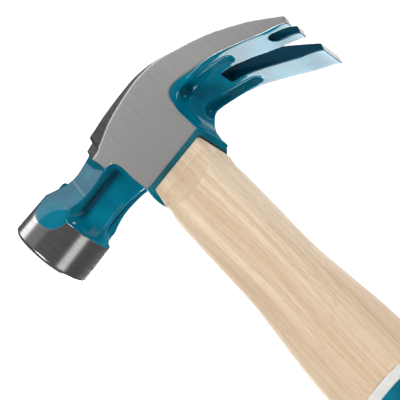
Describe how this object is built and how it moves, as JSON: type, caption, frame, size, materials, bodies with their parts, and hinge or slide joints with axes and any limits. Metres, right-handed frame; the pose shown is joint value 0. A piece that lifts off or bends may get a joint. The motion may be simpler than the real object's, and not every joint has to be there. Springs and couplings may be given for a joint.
{
  "type": "claw hammer",
  "caption": "Curved claw hammer: lacquered forged head with ground cheeks and poll, notched claw and magnetic nail starter, on a wedged hickory handle with a coated grip.",
  "frame": {"origin": "middle of the bottom of the bounding box, with the hammer lying on its side", "axes": "+X along the handle from the butt to the crown, +Y toward the striking face, +Z to the upper side of the head"},
  "size_m": [0.3326, 0.1227, 0.0378],
  "materials": {
    "head_lacquer": "gloss teal lacquer, with ground bare steel on the cheeks, crown and poll",
    "magnet": "nickel plated",
    "hickory": "clear satin, long straight grain",
    "wedge_wood": "raw end grain",
    "wedge_steel": "plain",
    "band_white": "smooth",
    "grip_teal": "smooth dipped coat"
  },
  "bodies": {
    "root": {"hammer_head": "head_lacquer", "nail_magnet": "magnet", "handle": "hickory", "wood_wedge": "wedge_wood", "steel_wedge_front": "wedge_steel", "steel_wedge_rear": "wedge_steel", "grip_band": "band_white", "grip_coat": "grip_teal"}
  },
  "joints": []
}
